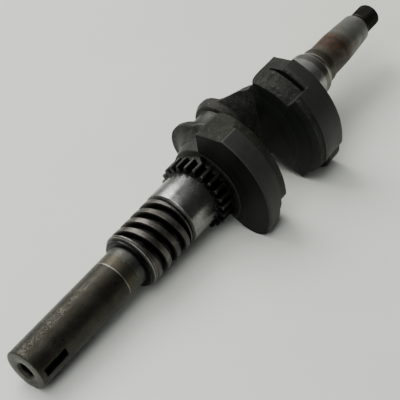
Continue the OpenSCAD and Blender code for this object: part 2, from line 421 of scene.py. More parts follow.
def forged(name, tones, rough, metal, relief, stain, rim=None, face=None):
    """Forged skin: grains of scale and small pale specks. rim holds the two tones of the machined rim
    and face the dark, middle and light tone, with turning rings, of surfaces square to the shaft."""
    t = Tree(name)
    big = t.noise(120, 6, 0.66, 0.5)
    small = t.noise(950, 6, 0.75)
    colour = t.mottled(big, tones)
    speck = t.scale(small, 0.58, 0.66)
    colour = t.mix(t.math("MULTIPLY", speck, 0.3), colour, (0.3, 0.3, 0.27))
    colour = t.darken(0.6, colour, small, 0.32, 0.55, (0.45, 0.45, 0.42))
    colour = t.stained(colour, stain, 60, 5, 0.7, 1.0, 0.55, 0.68)
    roughness = t.scale(big, 0.3, 0.7, rough[0], rough[1])
    height = t.math("ADD", t.math("MULTIPLY", big, 1.4), small)
    normal = t.bump(height, relief, 0.6 * MM)
    distance = t.axis_distance()
    if rim:
        plain = t.scale(distance, MACHINED_RIM * MM, (MACHINED_RIM + 0.25) * MM)
        streak = t.lines(t.x, 1800)
        bright = t.mix(t.scale(streak, 0.3, 0.7), rim[0], rim[1])
        bright = t.darken(0.4, bright, t.noise(300, 5), 0.35, 0.6, (0.7, 0.7, 0.68))
        colour = t.mix(plain, colour, bright)
        roughness = t.math("SUBTRACT", roughness, t.math("MULTIPLY", plain, 0.1))
        normal = t.blend_normals(plain, normal, t.bump(streak, 0.2, 0.1 * MM))
    if face:
        facing = t.add("ShaderNodeSeparateXYZ")
        t.join(t.add("ShaderNodeNewGeometry").outputs["Normal"], facing.inputs[0])
        square = t.scale(t.math("ABSOLUTE", facing.outputs[0]), 0.93, 0.97)
        ring = t.lines(distance, 1500, 4)
        dark = t.mix(t.scale(ring, 0.3, 0.7), face[0], face[1])
        dark = t.mix(t.scale(t.lines(distance, 260, 2), 0.45, 0.7, 0, 0.5), dark, face[2])
        colour = t.mix(square, colour, dark)
        roughness = t.math("SUBTRACT", roughness, t.math("MULTIPLY", square, 0.15))
        normal = t.blend_normals(square, normal, t.bump(ring, 0.35, 0.2 * MM))
    return t.finish(colour, roughness, normal, metal, shine=0.15)


def shaft_finish(name, look):
    """Brown oily steel, with the bright ring and the paler seal track before the worm, a painted shadow ring
    against the worm's collar, and painted shade in the keyway and the end hole.
    """
    bands = [
        (68.2, 0.8, (0.24, 0.235, 0.21), 0.85),
        (72.3, 7.0, (0.08, 0.073, 0.052), 0.6),
        (76.1, 0.5, (0.16, 0.155, 0.14), 0.5),
        (79.2, 6.0, (0.10, 0.101, 0.095), 0.6),
        # painted shadow: a thin near-black ring where the shaft meets the worm's collar
        (81.7, 0.9, (0.015, 0.015, 0.013), 0.9),
    ]
    tones = [(0.020, 0.019, 0.015), tuple(look.brown), (0.052, 0.049, 0.039)]
    # deep lays near-black painted shade on the keyway floor and in the end hole
    return steel(
        name, tones, (0.26, 0.38), 0.9, grain=0.12, pits=0.35,
        stain=(0.2, (0.026, 0.019, 0.012)), bands=bands, deep=(12.2, 11.3),
    )


def worm_finish(name, look):
    """Worn steel with painted shade that blackens the grooves and the collar's front next to the shaft, and
    fine dark and bright rings on the collar.
    """
    bands = [
        # painted shadow: the dark band over the collar's front, where it meets the shaft
        (82.5, 1.5, (0.02, 0.019, 0.016), 0.75),
        (84.2, 0.4, (0.3, 0.29, 0.27), 0.6),
        (84.9, 0.3, (0.03, 0.028, 0.025), 0.7),
        (85.5, 0.3, (0.26, 0.25, 0.23), 0.5),
    ]
    tones = [(0.045, 0.042, 0.037), (0.10, 0.095, 0.085), (0.19, 0.18, 0.165)]
    return steel(
        name, tones, (0.24, 0.4), 0.85, marks=0.15, pits=0.15,
        stain=(0.3, (0.05, 0.033, 0.02)), bands=bands, deep=(17.0, 15.5),
    )


def journal_finish(name, look):
    """Ground bearing steel."""
    tones = [(0.17, 0.17, 0.16), (0.25, 0.25, 0.24), (0.36, 0.36, 0.345)]
    return steel(name, tones, (0.2, 0.3), 0.95, marks=0.35, stain=(0.12, (0.2, 0.16, 0.12)))


def pin_finish(name, look):
    """Dull oily crankpin steel."""
    tones = [(0.02, 0.02, 0.017), (0.036, 0.036, 0.031), (0.06, 0.059, 0.053)]
    return steel(name, tones, (0.36, 0.48), 0.5)


def gear_finish(name, look):
    """Dark oily gear steel, with painted shade that turns it black between the teeth and nearer the axis."""
    tones = [(0.02, 0.02, 0.018), (0.045, 0.045, 0.04), (0.10, 0.10, 0.09)]
    return steel(name, tones, (0.25, 0.4), 0.85, marks=0.1, pits=0.1, deep=(21.6, 20.8))


def flywheel_journal_finish(name, look):
    """Ground steel with a polished track and a darker one beside it."""
    bands = [
        (258.9, 7.8, (0.36, 0.36, 0.345), 0.6),
        (264.8, 4.6, (0.11, 0.102, 0.085), 0.65),
        (267.3, 0.6, (0.42, 0.42, 0.4), 0.7),
    ]
    tones = [(0.13, 0.13, 0.12), (0.21, 0.21, 0.195), (0.3, 0.3, 0.285)]
    return steel(
        name, tones, (0.24, 0.36), 0.9, marks=0.25, stain=(0.15, (0.17, 0.13, 0.09)), bands=bands,
    )


def seal_finish(name, look):
    """Brownish steel with a bright edge."""
    tones = [(0.035, 0.032, 0.025), (0.065, 0.06, 0.047), (0.11, 0.105, 0.088)]
    edge = (272.4, 0.6, (0.3, 0.28, 0.24), 0.6)
    stain = (0.4, (0.04, 0.028, 0.018))
    return steel(name, tones, (0.3, 0.45), 0.75, marks=0.3, pits=0.1, stain=stain, bands=[edge])


def rust_finish(name, look):
    """Rusty steel, darker at its ends and orange in patches."""
    bands = [
        (281.0, 6.0, (0.05, 0.046, 0.036), 0.75),
        (293.6, 2.6, (0.018, 0.014, 0.011), 0.6),
        (297.4, 2.2, (0.07, 0.058, 0.045), 0.6),
    ]
    tones = [(0.018, 0.013, 0.010), tuple(look.rust), (0.09, 0.078, 0.065)]
    return steel(name, tones, (0.38, 0.6), 0.5, pits=0.3, stain=(0.7, (0.11, 0.042, 0.015)), bands=bands)


def taper_finish(name, look):
    """Grey steel, a little brown where it meets the rusty land."""
    bands = [(299.0, 4.0, (0.075, 0.058, 0.042), 0.6), (304.0, 8.0, (0.12, 0.108, 0.09), 0.4)]
    tones = [(0.10, 0.10, 0.092), (0.165, 0.165, 0.153), (0.24, 0.24, 0.225)]
    stain = (0.35, (0.07, 0.05, 0.03))
    return steel(name, tones, (0.4, 0.58), 0.7, marks=0.15, pits=0.12, stain=stain, bands=bands)


def thread_finish(name, look):
    """Brown crests over thread grooves blackened by painted shade."""
    tones = [(0.03, 0.026, 0.02), (0.065, 0.057, 0.043), (0.11, 0.098, 0.078)]
    return steel(name, tones, (0.3, 0.42), 0.9, marks=0.1, pits=0.1, deep=(8.0, 7.75))


def web_finish(name, look):
    """Smooth forged skin of the arms and bosses."""
    tones = [(0.008, 0.0085, 0.007), (0.017, 0.0175, 0.0145), (0.034, 0.035, 0.029)]
    return forged(name, tones, (0.34, 0.52), 0.25, 0.6, (0.35, (0.035, 0.022, 0.012)))


def near_weight_finish(name, look):
    """Forged skin with a machined rim and black oily faces."""
    tones = [(0.007, 0.0075, 0.0055), (0.015, 0.0155, 0.0115), (0.030, 0.0305, 0.023)]
    rim = ((0.024, 0.025, 0.023), (0.04, 0.041, 0.038))
    face = ((0.0015, 0.002, 0.0015), (0.004, 0.005, 0.004), (0.009, 0.010, 0.008))
    return forged(name, tones, (0.42, 0.6), 0.2, 0.8, (0.25, (0.045, 0.028, 0.015)), rim, face)


def far_weight_finish(name, look):
    """Rougher forged skin with a machined rim, and faces square to the shaft darkened as painted shade."""
    tones = [(0.008, 0.0083, 0.007), (0.018, 0.0183, 0.0155), (0.036, 0.0362, 0.031)]
    rim = ((0.022, 0.022, 0.020), (0.034, 0.034, 0.032))
    # painted shade: the inner face lies in the shadow of the drive side weight
    face = ((0.003, 0.0045, 0.004), (0.008, 0.0095, 0.008), (0.018, 0.0185, 0.016))
    return forged(name, tones, (0.42, 0.6), 0.15, 0.9, (0.5, (0.04, 0.024, 0.013)), rim, face)


def piece(mesh, finish, nodes):
    """Shows a mesh as the finished form of these solid nodes and ties it to their body.
    finish is one of the functions above; its material is made on first use."""
    obj = bpy.data.objects.new(mesh.name, mesh)
    bpy.context.scene.collection.objects.link(obj)
    made = bpy.data.materials.get(finish.__name__)
    obj.data.materials.append(made or finish(finish.__name__, bpy.context.scene.crank_finish))
    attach(obj, BODY)
    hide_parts(*nodes)


# ---------------------------------------------------------------- settings


class CrankWearSettings(bpy.types.PropertyGroup):
    """Sizes, in millimetres, of details that the solid model leaves plain."""

    edge: FloatProperty(
        name="Edge break", description="Radius worn on turned edges, in millimetres", default=0.3, min=0.02,
    )
    crest_break: FloatProperty(
        name="Crest break", description="Radius worn on the worm's crests, in millimetres",
        default=0.35, min=0.02,
    )
    thread_pitch: FloatProperty(
        name="Thread pitch", description="Advance of the end thread in a turn, in millimetres",
        default=1.5, min=0.5,
    )
    unevenness: FloatProperty(
        name="Forged unevenness", description="Height of the waves in the forged skin, in millimetres",
        default=0.22, min=0.0,
    )


class CrankShapeSettings(bpy.types.PropertyGroup):
    """Fineness of the computed surfaces."""

    turns: IntProperty(
        name="Points around", description="Points in each section of a turned surface", default=192, min=48,
    )
    outline: IntProperty(
        name="Outline points", description="Points in each section of a web or counterweight",
        default=720, min=90,
    )


class CrankFinishSettings(bpy.types.PropertyGroup):
    """Colours that set the character of the steel."""

    brown: FloatVectorProperty(
        name="Shaft brown", description="Middle tone of the drive shaft", subtype="COLOR",
        default=(0.035, 0.0325, 0.0255), min=0, max=1,
    )
    rust: FloatVectorProperty(
        name="Rust", description="Middle tone of the rusty land", subtype="COLOR",
        default=(0.045, 0.027, 0.017), min=0, max=1,
    )


class CrankStageSettings(bpy.types.PropertyGroup):
    """Where the viewer stands, and the light."""

    lens: FloatProperty(
        name="Lens", description="Focal length on a 36 mm sensor, in millimetres", default=94.95, min=10,
    )
    eye: FloatVectorProperty(
        name="Eye", description="Place of the camera", subtype="TRANSLATION", unit="LENGTH",
        default=(-0.17546, -0.29787, 0.40998),
    )
    key_power: FloatProperty(
        name="Key power", description="Power of the large soft light", default=15.0, min=0, unit="POWER",
    )
    room_power: FloatProperty(
        name="Room light", description="Strength of the light from the room", default=0.7, min=0,
    )
    window: FloatVectorProperty(
        name="Window side", description="Direction from which the room is brightest",
        subtype="DIRECTION", default=(-0.15, 0.72, 0.68),
    )
    floor_tone: FloatVectorProperty(
        name="Floor", description="Colour of the table", subtype="COLOR",
        default=(0.615, 0.63, 0.575), min=0, max=1,
    )


# ---------------------------------------------------------------- pieces


class CRANK_OT_drive_shaft(bpy.types.Operator):
    """Build the keyed drive shaft with its threaded end hole"""

    bl_idname = "crank.drive_shaft"
    bl_label = "Drive shaft"

    def execute(self, context):
        x0, x1 = span("pto_shaft")
        r = reach_of("pto_shaft")
        start, end = x0 + 3.2, x0 + 19.0
        half, depth = 2.5, 3.0
        # points stand closer round the slot, and in pairs at its two walls
        fine = np.arange(KEYWAY_ANGLE - 13, KEYWAY_ANGLE + 13, 0.4)
        coarse = around(context.scene.crank_shape.turns)
        coarse = coarse[np.abs(coarse - KEYWAY_ANGLE) > 13.2]
        wall = math.degrees(math.asin(half / r))
        walls = KEYWAY_ANGLE + np.array([-wall - 0.05, -wall + 0.05, wall - 0.05, wall + 0.05])
        angles = np.sort(np.concatenate([fine, coarse, walls]))

        def radial(x, radius, angle):
            # the slot is a square-ended box sunk to a flat floor
            off = np.radians(angle - KEYWAY_ANGLE)
            inside = (np.abs(r * np.sin(off)) < half) & (np.cos(off) > 0) & (x > start) & (x < end)
            bottom = (r - depth) / np.maximum(np.cos(off), 0.5)
            return np.where(inside & (radius > r - 0.2), bottom, radius)

        # the threaded hole: grooves turned one after another, read from its bottom to its mouth
        ridges = np.arange(2.4, 20.0, 0.75)
        ridge_r = np.where(np.arange(len(ridges)) % 2 == 0, END_HOLE_R, END_HOLE_R + 0.45)
        hole = np.stack([x0 + ridges, ridge_r], 1)[::-1]
        body = np.concatenate([
            [start - 0.4, start - 0.03, start + 0.03], np.arange(start + 0.5, end - 0.3, 0.6),
            [end - 0.03, end + 0.03, end + 0.5], np.arange(end + 1, x1 - 1, 2.0),
        ])
        profile = np.concatenate([
            [[x0 + 32.4, 0.05], [x0 + 30, END_HOLE_R], [x0 + 20.5, END_HOLE_R]],
            hole,
            [[x0 + 1.6, 4.35], [x0 + 1.2, 4.6], [x0 + 0.1, 5.8], [x0, 6.0]],
            [[x0, r - 0.7], [x0 + 0.12, r - 0.3], [x0 + 0.4, r - 0.05], [x0 + 0.7, r]],
            np.stack([body, np.full(len(body), r)], 1),
            [[x1, r], [x1, r * 0.5]],
        ])
        mesh = skin("drive_shaft", turned(profile, angles, radial))
        piece(mesh, shaft_finish, ["pto_shaft"])
        return {"FINISHED"}


class CRANK_OT_worm(bpy.types.Operator):
    """Build the two-start worm with its collar, and the plain land at its end"""

    bl_idname = "crank.worm"
    bl_label = "Worm"

    def execute(self, context):
        x0 = span("worm_collar")[0]
        x1 = span("drive_worm")[1]
        crest = reach_of("drive_worm")
        root, starts, lead = 13.0, 2, 16.5
        first_crest = 48.5
        break_r = context.scene.crank_wear.crest_break
        angles = around(360)
        # height of the thread by distance from the middle of its crest
        flank = [0, 1.45, 1.68, 1.82, 2.35, 2.75, 4.2]
        flank_r = [crest, crest, crest - break_r * 0.35, crest - break_r, root + 0.9, root + 0.15, root]
        # the collar in front: a low ring, a bevel, a turned line and a rounded back edge
        steps = [0, 0.15, 1.1, 1.2, 1.35, 2.3, 2.4, 2.55, 2.7, 3.95, 4.1, 4.3]
        sizes = [15.2, 15.5, 15.6, 15.3, 15.6, 17.05, 17.1, 16.9, 17.16, 17.16, 16.8, root]

        def radial(x, radius, angle):
            # distance from the nearest crest's middle as a share of the thread spacing
            share = ((angle - first_crest - 360 * (x - x0) / lead) * starts / 360 + 0.5) % 1 - 0.5
            ridge = np.interp(np.abs(share) * lead / starts, flank, flank_r)
            collar = np.interp(x - x0, steps, sizes)
            return np.where(radius > root, np.maximum(ridge * (x > x0 + 3.2), collar), radius)

        stations = np.concatenate([np.linspace(x0, x0 + 4.65, 94), np.linspace(x0 + 4.8, x1 - 1.3, 130)])
        turn = turned(np.stack([stations, np.full(len(stations), crest)], 1), angles, radial)
        front = turned([[x0, root * 0.5]], angles)
        end_r = crest - 0.25
        land = turned([[x1 - 1.15, end_r], [x1 - 0.2, end_r], [x1, end_r - 0.25], [x1, root * 0.5]], angles)
        mesh = skin("worm", np.concatenate([front, turn, land]))
        piece(mesh, worm_finish, ["worm_collar", "drive_worm"])
        return {"FINISHED"}


def turned_piece(name, line, angles, finish, nodes, centre=(0.0, 0.0)):
    """Builds and shows a plain turned piece from its (station, radius) line."""
    piece(skin(name, turned(line, angles, centre=centre)), finish, nodes)


class CRANK_OT_journals(bpy.types.Operator):
    """Build the groove, the bearing seats, the gear seat, the seal land and the crankpin"""

    bl_idname = "crank.journals"
    bl_label = "Journals"

    def execute(self, context):
        edge = context.scene.crank_wear.edge
        angles = around(context.scene.crank_shape.turns)
        x0, x1 = span("oil_groove")
        line = eased([[x0, 8], [x0, 15.4], [x0 + 1.4, 15.4], [x1, 17.0], [x1, 8]], 0.2)
        turned_piece("oil_groove_ring", line, angles, worm_finish, ["oil_groove"])

        x0, x1 = span("pto_main_journal")
        r = reach_of("pto_main_journal")
        line = eased([[x0, 9], [x0, r], [x1, r], [x1, 9]], edge * 1.6)
        turned_piece("drive_side_journal", line, angles, journal_finish, ["pto_main_journal"])

        x0, x1 = span("gear_seat")
        r = GEAR_SEAT_R
        line = eased([[x0, 6], [x0, r], [x1, r], [x1, 6]], 0.1)
        turned_piece("gear_press_seat", line, angles, journal_finish, ["gear_seat"])

        x0, x1 = span("flywheel_main_journal")
        line = eased([
            [x0, 8], [x0, 16.2], [x0 + 0.4, 15.4], [x0 + 1.2, 15], [x1 - 4.2, 15], [x1 - 3.4, 14.75],
            [x1 - 2.1, 14.2], [x1 - 0.9, 13.35], [x1, 12.75], [x1, 8],
        ], edge)
        turned_piece(
            "flywheel_side_journal", line, angles, flywheel_journal_finish, ["flywheel_main_journal"],
        )

        x0, x1 = span("seal_land")
        r = SEAL_R
        line = eased([[x0, 7], [x0, r], [x1 - 0.9, r], [x1, r - 0.9], [x1, 7]], edge)
        turned_piece("seal_ring_land", line, angles, seal_finish, ["seal_land"])

        x0, x1 = span("crankpin")
        # a one millimetre fillet runs into the cheek at each end
        fillet_r = PIN_R + 1
        turn = np.linspace(0, math.pi / 2, 7)
        left = np.stack([x0 + 1 - np.cos(turn), fillet_r - np.sin(turn)], 1)
        right = np.stack([x1 - 1 + np.cos(turn), fillet_r - np.sin(turn)], 1)[::-1]
        line = np.concatenate([[[x0, 7]], left, right, [[x1, 7]]])
        turned_piece("crank_pin", line, angles, pin_finish, ["crankpin"], (THROW, 0.0))
        return {"FINISHED"}


class CRANK_OT_timing_gear(bpy.types.Operator):
    """Build the pressed timing gear"""

    bl_idname = "crank.timing_gear"
    bl_label = "Timing gear"

    def execute(self, context):
        x0, x1 = span("timing_gear")
        teeth, module, first_tooth = 23, 1.75, 115.1
        bore = GEAR_SEAT_R + 0.02
        tip = module * (teeth / 2 + 1)
        pitch, root = tip - module, tip - 3.94
        angles = around(teeth * 24) + first_tooth
        # angle from the middle of the nearest tooth, then the radius that the tooth has there
        phase = np.abs((angles - first_tooth + 180 / teeth) % (360 / teeth) - 180 / teeth)
        flank = [0, 1.75, 2.1, 3.9, 4.9, 5.6, 7.9]
        tooth = np.interp(phase, flank, [tip, tip, tip - 0.12, pitch, root + 0.35, root, root])
        # each section lies this far in from the nearest end and this far below the full outline
        ends = np.array([[0, 0.45], [0.15, 0.2], [0.45, 0.0]])
        x = np.concatenate([[x0], x0 + ends[:, 0], x1 - ends[::-1, 0], [x1]])
        drop = np.concatenate([ends[:, 1], ends[::-1, 1]])
        wall = np.full((1, len(angles)), bore)
        r = np.concatenate([wall, tooth[None, :] - drop[:, None], wall])
        a = np.radians(angles)
        rings = np.stack([np.repeat(x[:, None], len(a), 1), r * np.cos(a), r * np.sin(a)], -1)
        piece(skin("timing_gear_teeth", rings, loop=True), gear_finish, ["timing_gear"])
        return {"FINISHED"}


def arm_rings(context, seed):
    """Sections of an arm, drawn for the drive side: out from the middle over the outer surface,
    round the edge and back over the inner surface. The outer surface falls in a hollow sweep from the
    boss to the thin rim round the crankpin, the inner one rises to the pin's cheek."""
    centre = np.array([9.0, 3.0])
    angles = around(context.scene.crank_shape.outline // 2)
    outline = np.concatenate([
        arc((THROW, 0), 18.0, -96, 88, 60),
        # the upper side, with its hollow where it meets the counterweight
        [[9.5, 27.4], [5.5, 29.4], [2.5, 30.9], [0.7, 32.7], [-0.5, 35.5], [-1.4, 38.0]],
        [[-6.0, 34.0], [-9.0, 27.0], [-15.0, -6.0], [-12.0, -13.8], [0.0, -15.6], [12.0, -16.8]],
    ])
    edge = reach(outline, centre, angles, 1.6)
    rad = np.radians(angles)
    d = np.stack([np.cos(rad), np.sin(rad)], 1)

    outer_x = span("pto_boss")[1]
    inner_x = span("pto_counterweight")[1] - 0.4

    def outer(y, z):
        swept = smooth(np.hypot(y, z) - BOSS_R, -6.0, 15.7)
        near_rim = smooth(np.hypot(y - THROW, z), 7.0, 17.0) * smooth(y, 0.0, 20.0)
        return outer_x + 13.9 * (1 - (1 - swept**0.8) * (1 - near_rim))

    def inner(y, z):
        off = np.hypot(y - THROW, z)
        cheek = 1 - smooth(off, 15.6, 18.6)
        shoulder = 1 - smooth(off, 17.0, 33.0)
        return inner_x + 4.6 * shoulder + 4.3 * cheek - 1.2 * smooth(-y, 2.0, 8.0)

    out = np.concatenate([np.linspace(0.04, 0.86, 22), np.linspace(0.88, 0.985, 9)])
    sweep = edge[None, :, None] * d[None]
    yz_out = centre + out[:, None, None] * sweep
    yz_in = centre + out[::-1, None, None] * sweep
    x_out, x_in = outer(yz_out[..., 0], yz_out[..., 1]), inner(yz_in[..., 0], yz_in[..., 1])
    rim = centre + sweep[0]
    share = np.array([0.08, 0.3, 0.7, 0.92])[:, None]
    rim_x = outer(rim[:, 0], rim[:, 1]) * (1 - share) + inner(rim[:, 0], rim[:, 1]) * share
    x = np.concatenate([x_out, rim_x, x_in])
    yz = np.concatenate([yz_out, np.repeat(rim[None], len(share), 0), yz_in])
    rough = lump(x, yz[..., 0], yz[..., 1], 14, seed) * context.scene.crank_wear.unevenness
    on_face = np.concatenate([np.ones(len(x_out)), np.zeros(len(rim_x)), np.ones(len(x_in))])
    x = x + rough * on_face[:, None]
    return np.concatenate([x[..., None], yz], -1)


class CRANK_OT_webs(bpy.types.Operator):
    """Build the two arms that carry the crankpin, and the bosses behind them"""

    bl_idname = "crank.webs"
    bl_label = "Webs"

    def execute(self, context):
        middle = sum(span("crankpin")) / 2
        rings = arm_rings(context, 5)
        piece(skin("drive_side_arm", rings), web_finish, ["pto_web"])
        rings = arm_rings(context, 11)
        rings[..., 0] = 2 * middle - rings[..., 0]
        piece(skin("flywheel_side_arm", rings), web_finish, ["flywheel_web"])
        angles = around(context.scene.crank_shape.turns * 2)

        def trimmed(x, radius, angle):
            # the underside is cut flat
            down = np.maximum(-np.sin(np.radians(angle)), 1e-3)
            return np.minimum(radius, BOSS_FLAT / down)

        # core, neck, shoulder and widest radius, with the stations of each counted from the outer end
        core, neck, shoulder, wide = 9, 19, 23, BOSS_R - 0.1
        x0, x1 = span("pto_boss")
        line = [
            [x0 + 0.05, core], [x0 + 0.05, neck - 0.1], [x0 + 4.1, neck], [x0 + 4.1, shoulder],
            [x0 + 7.5, shoulder + 0.9], [x1, wide], [x1 + 3.0, wide - 0.2], [x1 + 5.0, core],
        ]
        rings = turned(eased(line, 0.7), angles, trimmed)
        piece(skin("drive_side_boss", rings), web_finish, ["pto_boss"])
        x0, x1 = span("flywheel_boss")
        line = [
            [x0 - 5, core], [x0 - 3, wide - 0.2], [x0, wide], [x0 + 5.5, shoulder],
            [x0 + 6.2, neck], [x1 - 0.05, neck - 0.1], [x1 - 0.05, core],
        ]
        rings = turned(eased(line, 0.7), angles, trimmed)
        piece(skin("flywheel_side_boss", rings), web_finish, ["flywheel_boss"])
        return {"FINISHED"}


def rim_points(start, end):
    """Points outside the rim circle, which the rim then trims."""
    return arc((0, 0), 60, start, end, 16)


def weight_outline(flat, rim_start, side_z, tail, heel):
    """Outline of a weight's full layer: the flat beside the arm, past the rim, down the far side,
    round the tail and back along the heel."""
    return np.concatenate([
        flat, rim_points(rim_start, 176),
        [[-52.0, side_z], [tail[0] - TAIL_R, tail[1] + 4.0]], arc(tail, TAIL_R, 180, 270), heel,
    ])


def roughened(rings, stations, angles, size, seed, height):
    """Pushes the forged sides of a weight inwards by a seeded unevenness; the rim stays round."""
    rad = np.radians(angles)
    rim = np.array([s[3] for s in stations])[:, None]
    inside = np.hypot(rings[..., 1], rings[..., 2]) < rim - 0.15
    push = np.abs(lump(rings[..., 0], rings[..., 1], rings[..., 2], size, seed)) * height * inside
    rings[..., 1] -= push * np.cos(rad)
    rings[..., 2] -= push * np.sin(rad)


def recessed_face(ring, x0):
    """Sections of a weight's face from its middle to near its edge, in fine steps: a round recess
    4.1 mm deep that clears the gear, with a crisp wall and a low lip round it."""
    share = np.linspace(0.03, 0.985, 70)[:, None, None]
    yz = np.asarray(WEIGHT_MIDDLE) + share * (ring[None, :, 1:] - np.asarray(WEIGHT_MIDDLE))
    distance = np.hypot(yz[..., 0], yz[..., 1])
    depth = 4.1 * (1 - smooth(distance, BOSS_R - 0.5, BOSS_R))
    lip = 0.35 * np.exp(-(((distance - BOSS_R - 0.8) / 0.5) ** 2))
    return np.concatenate([(x0 + depth + FACE_DROP - lip)[..., None], yz], -1)


def drive_side_weight(context):
    """The counterweight behind the gear: a front layer with the long tail and a shorter rear layer."""
    angles = around(context.scene.crank_shape.outline)
    x0, x1 = span("pto_counterweight")
    rim = -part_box("pto_counterweight")[0].y / MM
    flat = [[-1.0, 29.0], [-1.0, 40.9], [-20.0, 42.1]]
    heel = [[-12, -14], [-4, -10]]
    outline = weight_outline(flat, 118, -3.0, (-34.0, -8.1), [[-27, -18.7], [-18, -13.2], *heel])
    front = reach(outline, WEIGHT_MIDDLE, angles, 0.7)
    outline = np.concatenate([
        flat, rim_points(118, 178),
        # the cut-back lower end
        [[-46.2, 4.5], [-45.5, 1.0], [-44.0, -2.0], [-42.2, -5.2], [-39.4, -9.2], [-34, -13.6], [-26, -15.6]],
        heel,
    ])
    rear = reach(outline, WEIGHT_MIDDLE, angles, 0.9)
    step = x0 + 9.4
    # each station is (X, outline, inset, rim radius)
    stations = [
        (x0, front, 0.9, rim - 0.9), (x0 + 0.12, front, 0.45, rim - 0.45),
        (x0 + 0.45, front, 0.12, rim - 0.12), (x0 + 0.9, front, 0.0, rim),
        *[(x, front, 0.0, rim) for x in np.linspace(x0 + 2.5, step, 6)],
        # the front outline draws in to the rear one
        *[(step + 3 * t, front + (rear - front) * t * t, 0.0, rim) for t in (0.3, 0.6, 0.85, 1.0)],
        # the rear layer steps down from the rim and rounds off towards the crankpin
        (x1 - 9.55, rear, 0.0, rim - 0.02), (x1 - 9.4, rear, 0.15, 45.3), (x1 - 9.1, rear, 0.2, 45.0),
        (x1 - 7.0, rear, 0.2, 44.7), (x1 - 4.5, rear, 0.25, 44.3), (x1 - 2.8, rear, 0.3, 44.0),
        (x1 - 2.1, rear, 0.45, 43.2), (x1 - 1.1, rear, 0.9, 41.9), (x1 - 0.15, rear, 1.6, 40.7),
        (x1, rear, 2.1, 40.2),
    ]
    rings = layers(stations, WEIGHT_MIDDLE, angles)
    face = recessed_face(rings[0], x0)
    rings[0, :, 0] += FACE_DROP
    roughened(rings, stations, angles, 11, 3, context.scene.crank_wear.unevenness)
    mesh = skin("drive_side_weight", np.concatenate([face, rings]))
    piece(mesh, near_weight_finish, ["pto_counterweight"])


def lower_pad(rings, x0, rim):
    """Lowers a sector of the rim to the forged pad, which rises from the inner face to the slot
    behind it. The radius kept at each station is interpolated, and the sector's ends are smooth."""
    slot_x, slot_end, step_end = x0 + 11.45, x0 + 12.9, x0 + 14.1
    pad_start, slot_start, sector_end = 60.0, 98.0, 131.0
    size = np.hypot(rings[..., 1], rings[..., 2])
    turn = np.degrees(np.arctan2(rings[..., 2], rings[..., 1])) % 360
    x = rings[..., 0]
    places = [x0, x0 + 11.4, slot_x, slot_x + 0.05, slot_end, slot_end + 0.05, step_end]
    kept = np.interp(x, places, [38.5, 43.2, 42.9, 40.0, 40.0, 44.6, rim])
    kept = kept - 0.35 * lump(x, rings[..., 1], rings[..., 2], 5, 21) * (x < slot_x + 0.05)
    start = np.where(x > slot_x - 0.05, slot_start, pad_start)
    amount = smooth(turn, start, start + 1.5) * (1 - smooth(turn, sector_end - 1.5, sector_end))
    amount = np.where(x > slot_end + 0.02, amount * 0.9, amount)
    rings[..., 1:] *= ((size + (np.minimum(size, kept) - size) * amount) / size)[..., None]


def flywheel_side_weight(context):
    """The far counterweight: an inner layer with a cut-back end and the pad, and a full outer layer."""
    angles = around(context.scene.crank_shape.outline)
    x0, x1 = span("flywheel_counterweight")
    rim = -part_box("flywheel_counterweight")[0].y / MM
    flat = [[-1, 29], [-1, 40.9], [-14.3, 42.5]]
    heel = [[-22, -18.5], [-12, -14], [-4, -10]]
    # both layers share the flat and the rim beside it
    shared = np.concatenate([flat, rim_points(110, 134)])
    outer = reach(weight_outline(shared, 134, -5.0, (-31.5, -11.5), heel), WEIGHT_MIDDLE, angles, 0.6)
    outline = np.concatenate([
        shared, rim_points(134, 180), [[-52, -6], [-45, -8], [-41.4, -13.4], [-36.5, -17.8], [-31.4, -23.4]],
        heel,
    ])
    inner = reach(outline, WEIGHT_MIDDLE, angles, 0.6)
    stations = [
        (x0, inner, 1.9, 38.6), (x0 + 0.15, inner, 1.3, 39.3), (x0 + 0.9, inner, 0.5, 42.2),
        (x0 + 1.7, inner, 0.15, 44.9), (x0 + 2.2, inner, 0.0, 45.15), (x0 + 3.5, inner, 0.0, 45.3),
        (x0 + 5.0, inner, 0.0, 45.5),
        *[(x0 + t, inner, 0.0, rim) for t in (5.25, 7.0, 9.0, 10.8, 11.35, 11.45)],
        *[(x0 + t, outer, 0.0, rim) for t in (12.85, 12.95, 13.2, 13.7)],
        *[(x, outer, 0.0, rim) for x in np.linspace(x0 + 15.0, x1 - 1.2, 7)],
        (x1 - 0.5, outer, 0.15, rim - 0.15), (x1 - 0.15, outer, 0.5, rim - 0.5), (x1, outer, 1.0, rim - 1.0),
    ]
    rings = layers(stations, WEIGHT_MIDDLE, angles)
    lower_pad(rings, x0, rim)
    roughened(rings, stations, angles, 8, 8, context.scene.crank_wear.unevenness * 1.2)
    mesh = skin("flywheel_side_weight", rings)
    piece(mesh, far_weight_finish, ["flywheel_counterweight"])


class CRANK_OT_counterweights(bpy.types.Operator):
    """Build the two counterweights"""

    bl_idname = "crank.counterweights"
    bl_label = "Counterweights"

    def execute(self, context):
        drive_side_weight(context)
        flywheel_side_weight(context)
        return {"FINISHED"}


